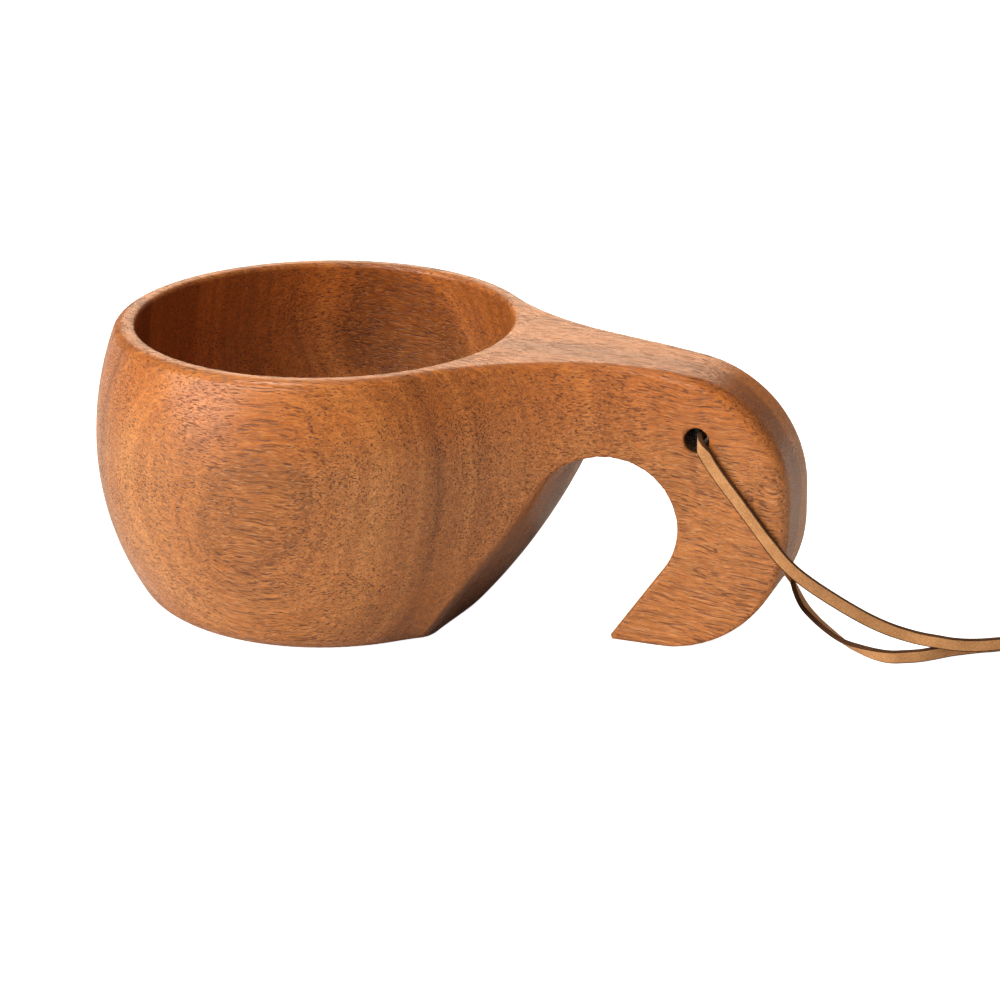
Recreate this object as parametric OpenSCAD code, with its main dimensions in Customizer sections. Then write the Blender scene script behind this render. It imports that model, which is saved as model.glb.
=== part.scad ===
// Kuksa: a wooden cup carved from one block, with a hooked handle and a
// leather lace. Millimetres. The origin is on the bowl's axis, on the face
// that the cup stands on. +X runs from the bowl to the handle and +Z points
// up. The cup is the same on both sides of the plane y = 0.

/* [Bowl] */
// Height of the cup, from the table to the rim
cup_h = 61; // [56:1:68]
// Radius of the bowl at its widest
belly_r = 49.5; // [45:0.5:56]
// Height of the widest place
belly_z = 34.5; // [30:0.5:38]
// Radius of the side's curve below the widest place
lower_curve_r = 61; // [54:1:72]
// Radius of the side's curve above the widest place
upper_curve_r = 70; // [56:1:90]
// Radius of the turn from the side into the base
heel_r = 7.5; // [5:0.5:10]

/* [Hollow] */
// Radius of the mouth, at the rim
mouth_r = 40; // [35:0.5:41]
// Thickness of the wall at the hollow's widest place
wall = 7.5; // [6.5:0.5:10]
// Height of the hollow's widest place
hollow_z = 40; // [38:0.5:44]
// Thickness of the floor
floor_t = 8; // [6:0.5:11]

/* [Handle] */
// Distance from the bowl's axis to the end of the handle
reach = 105; // [98:1:116]
// Thickness of the handle across the cup
handle_t = 18.5; // [15:0.5:22]
// Radius, seen from above, of the sweep from the bowl into the handle
sweep_r = 66; // [50:1:85]
// Radius of the handle's shoulder, between its top and its end
shoulder_r = 26; // [23:0.5:29]
// How far the handle's top falls before its shoulder
top_fall = 1; // [0.5:0.1:1.5]
// Distance from the bowl's axis at which the handle's top starts to fall
top_fall_x = 60; // [55:1:68]
// Radius of the handle's outer curve, between its end and its foot
outer_curve_r = 28; // [25:0.5:30]
// Angle at which the outer curve rises from the foot
foot_lift = 6; // [3:1:10]
// Distance from the bowl's axis to the point of the foot
foot_tip_x = 67; // [64:0.5:70]
// Radius of the rounded edges of the rim and the handle
edge_r = 2.2; // [1.4:0.2:3]

/* [Finger hole] */
// Diameter of the finger hole
finger_d = 30.6; // [25:0.2:32]
// Distance from the bowl's axis to the finger hole's centre
finger_x = 66.4; // [65:0.2:68]
// Height of the finger hole's centre
finger_z = 26.2; // [25:0.2:28]
// Lean of the cut that opens the hole downwards beside the bowl
cut_lean = 31.6; // [29:0.2:34]
// Distance from the bowl's axis to the foot of the wall left beside the cut
wall_foot_x = 34.2; // [32:0.2:35]
// Distance from the bowl's axis to the top of that wall
wall_top_x = 57; // [55:0.5:60]
// Height of that wall
wall_top_z = 35; // [32:1:38]
// How far that wall bulges from a straight line
wall_bulge = 1.7; // [1:0.1:3]
// Distance behind the bowl's axis of the centre that the wall turns about
wall_turn_back = 20; // [10:1:35]
// Height at which the foot's inner face runs into the finger hole
foot_face_top = 18.5; // [16:0.5:20]

/* [Lace] */
// Diameter of the hole for the lace
lace_hole_d = 5; // [4.5:0.5:7]
// Distance from the bowl's axis to the lace hole
lace_hole_x = 85.5; // [84.5:0.5:86.5]
// Height of the lace hole
lace_hole_z = 46.5; // [46:0.5:47]
// Width of the lace
lace_d = 3; // [2.5:0.1:3]
// Radius of the knot at its middle
knot_r = 4.2; // [4:0.1:4.5]
// Radius of the knot's flat ends
knot_end_r = 3.7; // [3.5:0.1:4]
// Length of the knot
knot_l = 8; // [7:0.5:9]

/* [Hidden] */

WOOD = "peru";
LEATHER = "burlywood";
FINE = 96;

half_t = handle_t / 2;
// Centre of the handle's shoulder. The top falls ever faster towards it and
// then runs into it straight, at fall_slope
shoulder_x = reach - shoulder_r;
fall_l = shoulder_x - top_fall_x;
fall_slope = 2 * top_fall / fall_l;
shoulder_z = cup_h - top_fall - shoulder_r * sqrt(1 + pow(fall_slope, 2));
// How far a cut or a block runs past what it cuts
past = 10;
// How far joined pieces reach into each other
lap = 1;

// ---- Outside of the bowl ----
// Centres of the side's two curves, which meet upright at the widest place
lower_c = belly_r - lower_curve_r;
upper_c = belly_r - upper_curve_r;
// The heel's arc leaves the base at base_r and meets the lower curve at heel_top
heel_dz = belly_z - heel_r;
heel_dx = sqrt(pow(lower_curve_r - heel_r, 2) - pow(heel_dz, 2));
base_r = lower_c + heel_dx;
heel_top = belly_z - lower_curve_r * heel_dz / (lower_curve_r - heel_r);

function bowl_r(z) =
    z < heel_top ? base_r + sqrt(max(pow(heel_r, 2) - pow(heel_r - z, 2), 0)) :
    z < belly_z ? lower_c + sqrt(pow(lower_curve_r, 2) - pow(z - belly_z, 2)) :
    upper_c + sqrt(pow(upper_curve_r, 2) - pow(z - belly_z, 2));

// Levels of the outer skin, as [height, inset], with the rim's edge rounded
HEEL_TURN = acos((heel_r - heel_top) / heel_r);
SIDE_STEPS = 9;
LEVELS = concat(
    [for (a = [0, 0.4, 0.7]) [heel_r * (1 - cos(a * HEEL_TURN)), 0]],
    [for (i = [0 : SIDE_STEPS]) [heel_top + (cup_h - edge_r - heel_top) * i / SIDE_STEPS, 0]],
    [for (a = [30, 60, 90]) [cup_h - edge_r * (1 - sin(a)), edge_r * (1 - cos(a))]]);

// One side of the outline at a level, seen from above: round the bowl from
// its front, along the hollow sweep, then straight to the handle's end
BOWL_STEPS = 22;
SWEEP_STEPS = 11;

function half_outline(r, inset) =
    let (cy = half_t + sweep_r,
         cx = sqrt(pow(r + sweep_r, 2) - pow(cy, 2)),
         meet = atan2(cy, cx))
    concat(
        [for (i = [0 : BOWL_STEPS - 1])
            let (a = 180 - (180 - meet) * i / BOWL_STEPS)
            (r - inset) * [cos(a), sin(a)]],
        [for (i = [0 : SWEEP_STEPS])
            let (a = 180 + meet + (90 - meet) * i / SWEEP_STEPS)
            [cx, cy] + (sweep_r + inset) * [cos(a), sin(a)]],
        [[reach + past, half_t - inset]]);

HALF_N = BOWL_STEPS + SWEEP_STEPS + 2;
RING_N = 2 * HALF_N - 1;

// How far the top has fallen at x
function fall(x) =
    x < shoulder_x ? top_fall * pow(max(x - top_fall_x, 0) / fall_l, 2) :
    top_fall + fall_slope * (x - shoulder_x);

// Height of a level at x: the levels above the widest place share the fall
function level_z(z, x) = z - fall(x) * max(z - belly_z, 0) / (cup_h - belly_z);

// A level's whole ring: one side, then the other side back to the start
function ring(level) =
    let (half = half_outline(bowl_r(level[0]), level[1]))
    concat([for (p = half) [p[0], p[1], level_z(level[0], p[0])]],
           [for (i = [HALF_N - 1 : -1 : 1])
               [half[i][0], -half[i][1], level_z(level[0], half[i][0])]]);

// A level's flat face, as strips from one side to the other
function cap(first) =
    concat([[first, first + 1, first + RING_N - 1]],
           [for (i = [1 : HALF_N - 2])
               [first + i, first + i + 1, first + RING_N - i - 1, first + RING_N - i]]);

function turned(faces) = [for (f = faces) [for (i = [len(f) - 1 : -1 : 0]) f[i]]];

module outer_skin() {
    last = len(LEVELS) - 1;
    points = [for (level = LEVELS) each ring(level)];
    walls = [for (k = [0 : last - 1], i = [0 : RING_N - 1])
        let (a = k * RING_N + i, b = k * RING_N + (i + 1) % RING_N)
        each [[a, a + RING_N, b], [b, a + RING_N, b + RING_N]]];
    polyhedron(points, concat(turned(cap(0)), walls, cap(last * RING_N)));
}

// ---- End of the handle ----
outer_x = reach - outer_curve_r;
outer_z = outer_curve_r * cos(foot_lift);

// The end's section, out to r: x is the distance outwards and y is across the
// cup. Its two edges are rounded, and it reaches past both of the handle's faces
module end_section(r) {
    translate([0, -half_t - past]) square([r - edge_r, handle_t + 2 * past]);
    translate([0, -half_t + edge_r]) square([r, handle_t - 2 * edge_r]);
    for (side = [-1, 1])
        translate([r - edge_r, side * (half_t - edge_r)]) circle(edge_r, $fn = FINE);
}

// A quarter of a disc that turns about an axis across the cup. It reaches a
// little past its centre, into the pieces beside it
module quarter_disc(x, z, r, up) {
    intersection() {
        translate([x, 0, z]) rotate([90, 0, 0]) rotate_extrude($fn = FINE) end_section(r);
        translate([x - lap, -half_t - past, up ? z - lap : z - r - past])
            cube([r + past + lap, handle_t + 2 * past, r + past + lap]);
    }
}

module end_form() {
    front = belly_r + past;
    above = cup_h + past;
    rotate([90, 0, 0]) linear_extrude(2 * front, center = true)
        polygon([[-front, -past], [outer_x, -past], [outer_x, outer_z], [shoulder_x, outer_z],
                 [shoulder_x, shoulder_z],
                 [shoulder_x + fall_slope * (above - shoulder_z), above], [-front, above]]);
    quarter_disc(shoulder_x, shoulder_z, shoulder_r, true);
    quarter_disc(outer_x, outer_z, outer_curve_r, false);
    translate([shoulder_x, 0, outer_z]) linear_extrude(shoulder_z - outer_z)
        end_section(shoulder_r);
}

// ---- Finger hole ----
// The cut beside the bowl leans by cut_lean and touches the hole's circle
cut_dir = [sin(cut_lean), cos(cut_lean)];
cut_touch = [finger_x, finger_z] + finger_d / 2 * [-cut_dir[1], cut_dir[0]];
cut_low = cut_touch - cut_dir * (cut_touch[1] + past) / cut_dir[1];
// The foot's inner face runs straight from its tip to the hole's circle
face_top_x = finger_x + sqrt(pow(finger_d / 2, 2) - pow(finger_z - foot_face_top, 2));
face_low_x = foot_tip_x - (face_top_x - foot_tip_x) * past / foot_face_top;

// The wall that the cut leaves is round, like the bowl behind it: one arc,
// from its foot to its top, turned about an upright axis behind the bowl's own
wall_chord = [wall_top_x - wall_foot_x, wall_top_z];
wall_r = pow(norm(wall_chord), 2) / (8 * wall_bulge) + wall_bulge / 2;
wall_in = [-wall_chord[1], wall_chord[0]] / norm(wall_chord);
wall_centre = [wall_foot_x + wall_turn_back, 0] + wall_chord / 2 + (wall_r - wall_bulge) * wall_in;

module bowl_wall() {
    translate([-wall_turn_back, 0, 0]) rotate_extrude($fn = FINE) intersection() {
        translate(wall_centre) circle(wall_r, $fn = FINE);
        translate([0, -past]) square([reach + wall_turn_back, cup_h + past]);
    }
}

module finger_cut() {
    difference() {
        rotate([90, 0, 0]) linear_extrude(4 * belly_r, center = true) {
            translate([finger_x, finger_z]) circle(d = finger_d, $fn = FINE);
            polygon([cut_low, cut_touch, [finger_x, finger_z],
                     [face_top_x, foot_face_top], [face_low_x, -past]]);
        }
        bowl_wall();
    }
}

// ---- Hollow ----
hollow_r = belly_r - wall;
// The turn into the floor is one arc, and the side above it another
turn_r = hollow_z - floor_t;
hollow_flat = hollow_r - turn_r;
hollow_rise = cup_h - hollow_z;
hollow_lean = hollow_r - mouth_r;
hollow_curve_r = (pow(hollow_rise, 2) + pow(hollow_lean, 2)) / (2 * hollow_lean);

module hollow() {
    rotate_extrude($fn = FINE) {
        translate([0, floor_t]) square([hollow_flat, cup_h - floor_t]);
        intersection() {
            translate([hollow_flat, hollow_z]) circle(turn_r, $fn = FINE);
            translate([0, floor_t]) square([hollow_r, turn_r]);
        }
        intersection() {
            translate([hollow_r - hollow_curve_r, hollow_z]) circle(hollow_curve_r, $fn = FINE);
            translate([0, hollow_z]) square([hollow_r, hollow_rise]);
        }
        translate([0, cup_h]) square([mouth_r, past]);
    }
}

module lace_hole() {
    translate([lace_hole_x, 0, lace_hole_z]) rotate([90, 0, 0])
        cylinder(h = handle_t + 2 * past, d = lace_hole_d, center = true, $fn = FINE);
}

module cup_body() {
    color(WOOD) difference() {
        intersection() {
            outer_skin();
            end_form();
        }
        finger_cut();
        hollow();
        lace_hole();
    }
}

// ---- Lace ----
CORD_SIDES = 8;

function unit(v) = v / norm(v);

// Direction of a route at one of its points
function along(route, i) =
    unit(route[min(i + 1, len(route) - 1)] - route[max(i - 1, 0)]);

// A ring of the tube, square to the route, except where an end is told its way
function cord_ring(p, way) =
    let (level = abs(way[2]) > 0.95 ? [1, 0, 0] : [0, 0, 1],
         u = unit(cross(way, level)), v = cross(way, u))
    [for (k = [0 : CORD_SIDES - 1])
        let (a = 360 * k / CORD_SIDES)
        p + lace_d / 2 * (cos(a) * u + sin(a) * v)];

module cord(route, first_way, last_way) {
    last = len(route) - 1;
    ways = [for (i = [0 : last]) i == 0 ? first_way : i == last ? last_way : along(route, i)];
    points = [for (i = [0 : last]) each cord_ring(route[i], ways[i])];
    walls = [for (i = [0 : last - 1], k = [0 : CORD_SIDES - 1])
        let (a = i * CORD_SIDES + k, b = i * CORD_SIDES + (k + 1) % CORD_SIDES)
        each [[a, b, a + CORD_SIDES], [b, b + CORD_SIDES, a + CORD_SIDES]]];
    start = [for (k = [CORD_SIDES - 1 : -1 : 0]) k];
    end = [for (k = [0 : CORD_SIDES - 1]) last * CORD_SIDES + k];
    polyhedron(points, concat([start], walls, [end]));
}

// The knot lies on the table, and its axis follows the strands
KNOT_START = [152.1, 34.8];
KNOT_WAY = unit([-0.34, 0.94, 0]);
KNOT_SIDE = [KNOT_WAY[1], -KNOT_WAY[0]];
// The strands and the tails meet the knot's ends side by side, with this much
// between them, at this height
strand_gap = 0.3;
strand_z = 3.5;

// A place beside the knot's axis: side 1 is the front strand's, which has
// crossed over, and -1 is the rear's
function knot_point(along, side) =
    let (out = side * (lace_d + strand_gap) / 2,
         p = KNOT_START + along * [KNOT_WAY[0], KNOT_WAY[1]] + out * KNOT_SIDE)
    [p[0], p[1], strand_z];

// The front strand: out of the hole, down the handle's face and past its end,
// then over the rear strand and along the table to the knot
FRONT_ROUTE = [
    [85.5, 0, 46.5], [85.5, -5, 46.5], [86, -9.5, 46.5], [87, -11.5, 45.5],
    [88.7, -11.5, 42.8], [91.5, -11.5, 39.1], [94.6, -11.5, 35.4], [98.2, -11.5, 31],
    [101.4, -11.5, 27.2], [104.1, -10.9, 23.9], [106.5, -10.2, 21.5], [109, -9.3, 19.4],
    [112.9, -7.4, 16.2], [117, -4.9, 12.8], [121.1, -2.2, 9.6], [125.2, 0.2, 7.1],
    [129.2, 2, 5.5], [131.9, 2.7, 4.9], [134.4, 3.2, 4.6], [136.9, 4.3, 4],
    [139.8, 6.1, 3.4], [142.8, 8, 3.1], [146.4, 10.1, 3.1], [149.8, 12.5, 2.6],
    [152.5, 15.8, 1.9], [154.1, 19.8, 1.5], [154.7, 24, 1.5], [154.7, 28, 1.6],
    [154.5, 31.5, 2.5], knot_point(0, 1)];
// The rear strand: the same on the other side, and on the table before it
REAR_ROUTE = [
    [85.5, 0, 46.5], [85.5, 5, 46.5], [86, 9.5, 46.5], [87, 11.5, 45.5],
    [88.5, 11.5, 42], [90.5, 11.5, 36.5], [92.5, 11.5, 30.5], [95, 11.5, 24],
    [98, 11.5, 17], [101.2, 11.2, 10], [104, 10, 6.2], [107.6, 7.3, 4.2],
    [111.6, 4.6, 2.8], [115.4, 2.4, 1.8], [119, 0.8, 1.5], [122.5, -0.6, 1.5],
    [125.7, -0.9, 1.5], [128.6, 0.3, 1.5], [131.4, 1.9, 1.5], [134, 4.2, 1.5],
    [136.6, 6.8, 1.5], [139.3, 8.9, 1.5], [142, 10.8, 1.5], [145.4, 12.9, 1.5],
    [148.2, 15.6, 1.5], [150.1, 19.4, 1.5], [151, 23.5, 1.5], [151.3, 27.5, 1.6],
    [151.1, 31.2, 2.5], knot_point(0, -1)];
ACROSS = [0, 1, 0];

module lace_front_strand() {
    color(LEATHER) cord(FRONT_ROUTE, -ACROSS, KNOT_WAY);
}

module lace_rear_strand() {
    color(LEATHER) cord(REAR_ROUTE, ACROSS, KNOT_WAY);
}

module lace_knot() {
    // The knot's side is an arc through its ends and its middle
    side_r = (pow(knot_l / 2, 2) + pow(knot_r - knot_end_r, 2)) / (2 * (knot_r - knot_end_r));
    color(LEATHER)
        translate([KNOT_START[0], KNOT_START[1], knot_r])
        rotate([0, 90, atan2(KNOT_WAY[1], KNOT_WAY[0])])
        rotate_extrude($fn = FINE)
        intersection() {
            translate([knot_r - side_r, knot_l / 2]) circle(side_r, $fn = FINE);
            square([knot_r, knot_l]);
        }
}

FRONT_TAIL = [knot_point(knot_l, 1), [150.9, 45, 2], [152, 47, 1.5], [154.5, 48, 1.5]];
REAR_TAIL = [knot_point(knot_l, -1), [147, 44, 2], [145.5, 46, 1.5], [143, 47.5, 1.5]];

module lace_front_tail() {
    color(LEATHER) cord(FRONT_TAIL, KNOT_WAY, unit([1, 0.3, 0]));
}

module lace_rear_tail() {
    color(LEATHER) cord(REAR_TAIL, KNOT_WAY, unit([-1, 0.3, 0]));
}

cup_body();
lace_front_strand();
lace_rear_strand();
lace_knot();
lace_front_tail();
lace_rear_tail();
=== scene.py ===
"""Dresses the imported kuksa: a wooden cup carved from one block, with a leather lace.

The cup is cut out of a field, a function that is negative inside the wood, by
the same arcs and straight lines that a carver would mark on the block. The
lace is one flat strip of suede that passes through the handle, with both of
its ends tied in a knot. Sizes are in millimetres until a mesh is made.
"""
import logging
import math
from collections.abc import Callable, Sequence
from dataclasses import dataclass
from enum import Enum

import bpy
import numpy as np
from mathutils import Matrix, Vector


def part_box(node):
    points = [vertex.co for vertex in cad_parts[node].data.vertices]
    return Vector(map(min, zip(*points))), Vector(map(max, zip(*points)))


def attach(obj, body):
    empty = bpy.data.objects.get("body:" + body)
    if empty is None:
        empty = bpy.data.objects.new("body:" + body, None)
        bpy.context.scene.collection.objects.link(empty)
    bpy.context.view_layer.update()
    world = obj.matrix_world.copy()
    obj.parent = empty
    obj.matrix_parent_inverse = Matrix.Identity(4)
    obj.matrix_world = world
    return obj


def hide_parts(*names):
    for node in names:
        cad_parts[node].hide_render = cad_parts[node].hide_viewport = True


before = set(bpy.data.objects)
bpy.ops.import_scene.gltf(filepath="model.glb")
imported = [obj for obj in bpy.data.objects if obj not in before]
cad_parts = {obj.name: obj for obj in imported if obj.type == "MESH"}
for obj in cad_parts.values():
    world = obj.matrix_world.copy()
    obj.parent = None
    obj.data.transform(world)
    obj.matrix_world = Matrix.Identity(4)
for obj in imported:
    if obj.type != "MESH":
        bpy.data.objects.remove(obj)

LOG = logging.getLogger("kuksa")
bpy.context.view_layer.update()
# Millimetres in a metre, and metres in a millimetre
PER_M = 1000.0
MM = 0.001
# Shorter than any real length, so that nothing is divided by zero
TINY = 1e-9

Field = Callable[[np.ndarray, np.ndarray, np.ndarray], np.ndarray]
Three = tuple[float, float, float]
Colour = Three
Span = tuple[float, float]


class Body(Enum):
    """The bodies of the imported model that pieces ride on."""

    CUP = "cup"
    LACE = "lace_loop"


class Stuff(Enum):
    """The record's material slots."""

    WOOD = "wood"
    LEATHER = "leather"


class Side(Enum):
    """Which side of the handle a strand hangs on, as the sign of its y."""

    FRONT = -1
    REAR = 1


# ---- Fields ----------------------------------------------------------------


def both(a: np.ndarray, b: np.ndarray, edge: float | np.ndarray) -> np.ndarray:
    """What lies inside two fields, with the edge between them rounded.

    Args:
        a: The first field's values.
        b: The second field's values.
        edge: Radius of the rounded edge.

    Returns:
        The values of the field where the two overlap.
    """
    corner = np.hypot(np.maximum(a + edge, 0), np.maximum(b + edge, 0))
    return np.minimum(np.maximum(a, b), -edge) + corner


def ease(value: np.ndarray, start: float, end: float) -> np.ndarray:
    """A smooth step from 0 at start to 1 at end."""
    t = np.clip((value - start) / (end - start), 0, 1)
    return t * t * (3 - 2 * t)


def unit(rows: np.ndarray) -> np.ndarray:
    """Each row scaled to a length of 1."""
    return rows / np.maximum(np.linalg.norm(rows, axis=1, keepdims=True), TINY)


# ---- Meshes ----------------------------------------------------------------


def new_object(
    name: str, points: np.ndarray, faces: Sequence, smooth: bool = True
) -> bpy.types.Object:
    """Makes a mesh object from points in millimetres.

    Args:
        name: The object's name.
        points: One row of three numbers for each point.
        faces: The point numbers of each face.
        smooth: Whether the faces are shaded smooth.

    Returns:
        The object, linked to the scene.
    """
    mesh = bpy.data.meshes.new(name)
    mesh.from_pydata((np.asarray(points) * MM).tolist(), [], [list(f) for f in faces])
    mesh.validate()
    mesh.polygons.foreach_set("use_smooth", [smooth] * len(mesh.polygons))
    mesh.update()
    made = bpy.data.objects.new(name, mesh)
    bpy.context.scene.collection.objects.link(made)
    return made


@dataclass(frozen=True)
class Carver:
    """Turns a field into a mesh of even, four-sided faces.

    Attributes:
        step: Size of the faces.
        settle_rounds: How often the points are evened out and pulled back.
        probe: Distance over which the field's slope is measured.
        least_slope: Least square of a slope that a point is pulled along.
        pull_share: How far a point may be pulled at once, as a share of the step.
        margin: Steps added to the box below and above.
    """

    step: float
    settle_rounds: int = 3
    probe: float = 0.04
    least_slope: float = 0.05
    pull_share: float = 0.5
    margin: Span = (1.5, 2.5)

    def slope(self, field: Field, points: np.ndarray) -> np.ndarray:
        """The field's gradient at some points, one row each."""
        columns = []
        for axis in range(3):
            ahead, behind = points.copy(), points.copy()
            ahead[:, axis] += self.probe
            behind[:, axis] -= self.probe
            columns.append((field(*ahead.T) - field(*behind.T)) / (2 * self.probe))
        return np.stack(columns, axis=1)

    def pull(self, field: Field, points: np.ndarray) -> np.ndarray:
        """Moves points along the slope onto the surface."""
        slope = self.slope(field, points)
        steep = np.maximum((slope**2).sum(axis=1), self.least_slope)
        move = (field(*points.T) / steep)[:, None] * slope
        far = np.linalg.norm(move, axis=1, keepdims=True)
        return points - move * np.minimum(1, self.pull_share * self.step / np.maximum(far, TINY))

    def carve(
        self, field: Field, low: Sequence[float], high: Sequence[float]
    ) -> tuple[np.ndarray, np.ndarray]:
        """Finds the surface inside a box.

        Args:
            field: The field, negative inside the solid.
            low: The box's lowest corner.
            high: The box's highest corner.

        Returns:
            The surface's points, and its faces as rows of four point numbers.
        """
        before, after = (share * self.step for share in self.margin)
        axes = [np.arange(a - before, b + after, self.step) for a, b in zip(low, high)]
        grid = np.meshgrid(*axes, indexing="ij", sparse=True)
        values = field(*grid)
        inside = values < 0
        cells = tuple(n - 1 for n in values.shape)
        corners = [(i, j, k) for i in (0, 1) for j in (0, 1) for k in (0, 1)]

        def shifted(array: np.ndarray, corner: tuple[int, int, int]) -> np.ndarray:
            """A block of the array the size of the cells, moved to one of their corners."""
            return array[tuple(slice(c, c + n) for c, n in zip(corner, cells))]

        count = sum(shifted(inside, c).astype(np.int8) for c in corners)
        crossed = (count > 0) & (count < len(corners))
        places = np.argwhere(crossed)
        number = np.full(cells, -1)
        number[crossed] = np.arange(len(places))
        total, hits = np.zeros((len(places), 3)), np.zeros(len(places))
        at = [shifted(values, c)[crossed] for c in corners]
        for m, first in enumerate(corners):
            for n in range(m + 1, len(corners)):
                second = corners[n]
                if sum(abs(p - q) for p, q in zip(first, second)) != 1:
                    continue
                cut = (at[m] < 0) != (at[n] < 0)
                share = at[m][cut] / (at[m][cut] - at[n][cut])
                edge = np.array(second) - np.array(first)
                total[cut] += np.array(first) + share[:, None] * edge
                hits[cut] += 1
        start = np.array([a[0] for a in axes])
        points = start + (places + total / hits[:, None]) * self.step
        return points, self.faces_of(inside, number)

    @staticmethod
    def faces_of(inside: np.ndarray, number: np.ndarray) -> np.ndarray:
        """Joins the points of the four cells round each edge that the surface crosses."""
        faces = []
        for axis in range(3):
            u, v = (axis + 1) % 3, (axis + 2) % 3
            near = np.take(inside, range(inside.shape[axis] - 1), axis)
            far = np.take(inside, range(1, inside.shape[axis]), axis)
            edges = np.argwhere(near != far)
            edges = edges[(edges[:, u] > 0) & (edges[:, v] > 0)]
            ring = []
            for back_u, back_v in ((1, 1), (0, 1), (0, 0), (1, 0)):
                cell = edges.copy()
                cell[:, u] -= back_u
                cell[:, v] -= back_v
                ring.append(number[tuple(cell.T)])
            face = np.stack(ring, axis=1)
            outward = near[tuple(edges.T)]
            face[~outward] = face[~outward][:, ::-1]
            faces.append(face)
        return np.concatenate(faces)

    def object_of(
        self, name: str, field: Field, low: Sequence[float], high: Sequence[float]
    ) -> bpy.types.Object:
        """Carves a field into an object, with its shading taken from the field.

        Args:
            name: The object's name.
            field: The field, negative inside the solid.
            low: The lowest corner of the box to carve in.
            high: The highest corner of that box.

        Returns:
            The object.
        """
        points, faces = self.carve(field, low, high)
        points = self.pull(field, points)
        pairs = np.concatenate([faces[:, [i, (i + 1) % 4]] for i in range(4)])
        for _ in range(self.settle_rounds):
            total, hits = np.zeros_like(points), np.zeros(len(points))
            for a, b in ((0, 1), (1, 0)):
                for axis in range(3):
                    near = points[pairs[:, b], axis]
                    total[:, axis] += np.bincount(pairs[:, a], near, len(points))
                hits += np.bincount(pairs[:, a], minlength=len(points))
            points = self.pull(field, (points + total / hits[:, None]) / 2)
        points = self.pull(field, points)
        made = new_object(name, points, faces)
        normals = unit(self.slope(field, points))
        made.data.normals_split_custom_set_from_vertices(normals.tolist())
        return made


def along(points: np.ndarray) -> np.ndarray:
    """The direction of a line at each of its points."""
    return unit(np.gradient(points, axis=0))


def level_looks(line: np.ndarray) -> np.ndarray:
    """The level way that a strip standing on its edge looks, at each point of its line."""
    ways = along(line)
    return unit(np.stack([ways[:, 1], -ways[:, 0], np.zeros(len(line))], axis=1))


def smooth_line(route: Sequence[Sequence[float]], step: float, fineness: int = 24) -> np.ndarray:
    """Draws a smooth curve through a route's points.

    Args:
        route: The route's points.
        step: Distance between the curve's points.
        fineness: Number of points worked out between two stops, before they are spaced.

    Returns:
        The curve's points, evenly spaced.
    """
    stops = np.asarray(route, float)
    ends = np.concatenate([[2 * stops[0] - stops[1]], stops, [2 * stops[-1] - stops[-2]]])
    fine = []
    for a, b, c, d in zip(ends, ends[1:], ends[2:], ends[3:]):
        t = np.linspace(0, 1, fineness, endpoint=False)[:, None]
        squared, cubed = 2 * a - 5 * b + 4 * c - d, 3 * b - a - 3 * c + d
        fine.append(0.5 * (2 * b + (c - a) * t + squared * t**2 + cubed * t**3))
    fine = np.concatenate([*fine, stops[-1:]])
    run = np.concatenate([[0], np.cumsum(np.linalg.norm(np.diff(fine, axis=0), axis=1))])
    marks = np.linspace(0, run[-1], max(2, round(run[-1] / step) + 1))
    return np.stack([np.interp(marks, run, fine[:, axis]) for axis in range(3)], axis=1)


@dataclass(frozen=True)
class Outline:
    """A strip's cross-section: a rectangle with rounded corners.

    Attributes:
        width: The section's longer side.
        thick: Its shorter side.
        corner: Radius of its corners.
        turns: Number of points on each corner.
    """

    width: float
    thick: float
    corner: float
    turns: int = 4

    def points(self) -> np.ndarray:
        """The section's points, as distances along its width and its thickness."""
        spots = []
        inner = np.array([self.width, self.thick]) / 2 - self.corner
        for quarter, signs in enumerate(((1, 1), (-1, 1), (-1, -1), (1, -1))):
            middle = inner * np.array(signs)
            for turn in range(self.turns):
                angle = math.radians(90 * (quarter + turn / (self.turns - 1)))
                spots.append(middle + self.corner * np.array([math.cos(angle), math.sin(angle)]))
        return np.array(spots)

    def is_edge(self, number: int) -> bool:
        """Whether the strip's side after a point of the section is its cut edge."""
        return number % (2 * self.turns) != self.turns - 1


def sweep(
    name: str, line: np.ndarray, faces_to: np.ndarray, section: Outline
) -> bpy.types.Object:
    """Runs a strip along a line.

    Args:
        name: The object's name.
        line: The line's points.
        faces_to: The way that the strip's face looks at each point.
        section: The strip's cross-section.

    Returns:
        The object, with its face in material slot 0 and its cut edges in slot 1.
    """
    ways = along(line)
    outs = unit(faces_to - (faces_to * ways).sum(axis=1, keepdims=True) * ways)
    sides = np.cross(ways, outs)
    ring = section.points()
    count, last = len(ring), len(line) - 1
    points = [
        place + ring[:, :1] * side + ring[:, 1:] * out
        for place, side, out in zip(line, sides, outs)
    ]
    faces, edge = [], []
    for i in range(last):
        for k in range(count):
            a, b = i * count + k, i * count + (k + 1) % count
            faces.append((a, b, b + count, a + count))
            edge.append(section.is_edge(k))
    caps = [tuple(range(count - 1, -1, -1)), tuple(last * count + k for k in range(count))]
    smooth = [True] * len(faces) + [False] * len(caps)
    faces += caps
    edge += [True] * len(caps)
    made = new_object(name, np.concatenate(points), faces)
    made.data.polygons.foreach_set("material_index", [int(e) for e in edge])
    made.data.polygons.foreach_set("use_smooth", smooth)
    return made


# ---- Finishes --------------------------------------------------------------


def fill_ramp(node: bpy.types.Node, stops: Sequence[tuple[float, Colour]]) -> None:
    """Sets the stops of a colour ramp."""
    bar = node.color_ramp.elements
    while len(bar) < len(stops):
        bar.new(0.5)
    for mark, (place, colour) in zip(bar, stops):
        mark.position = place
        mark.color = (*colour, 1.0)


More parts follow.
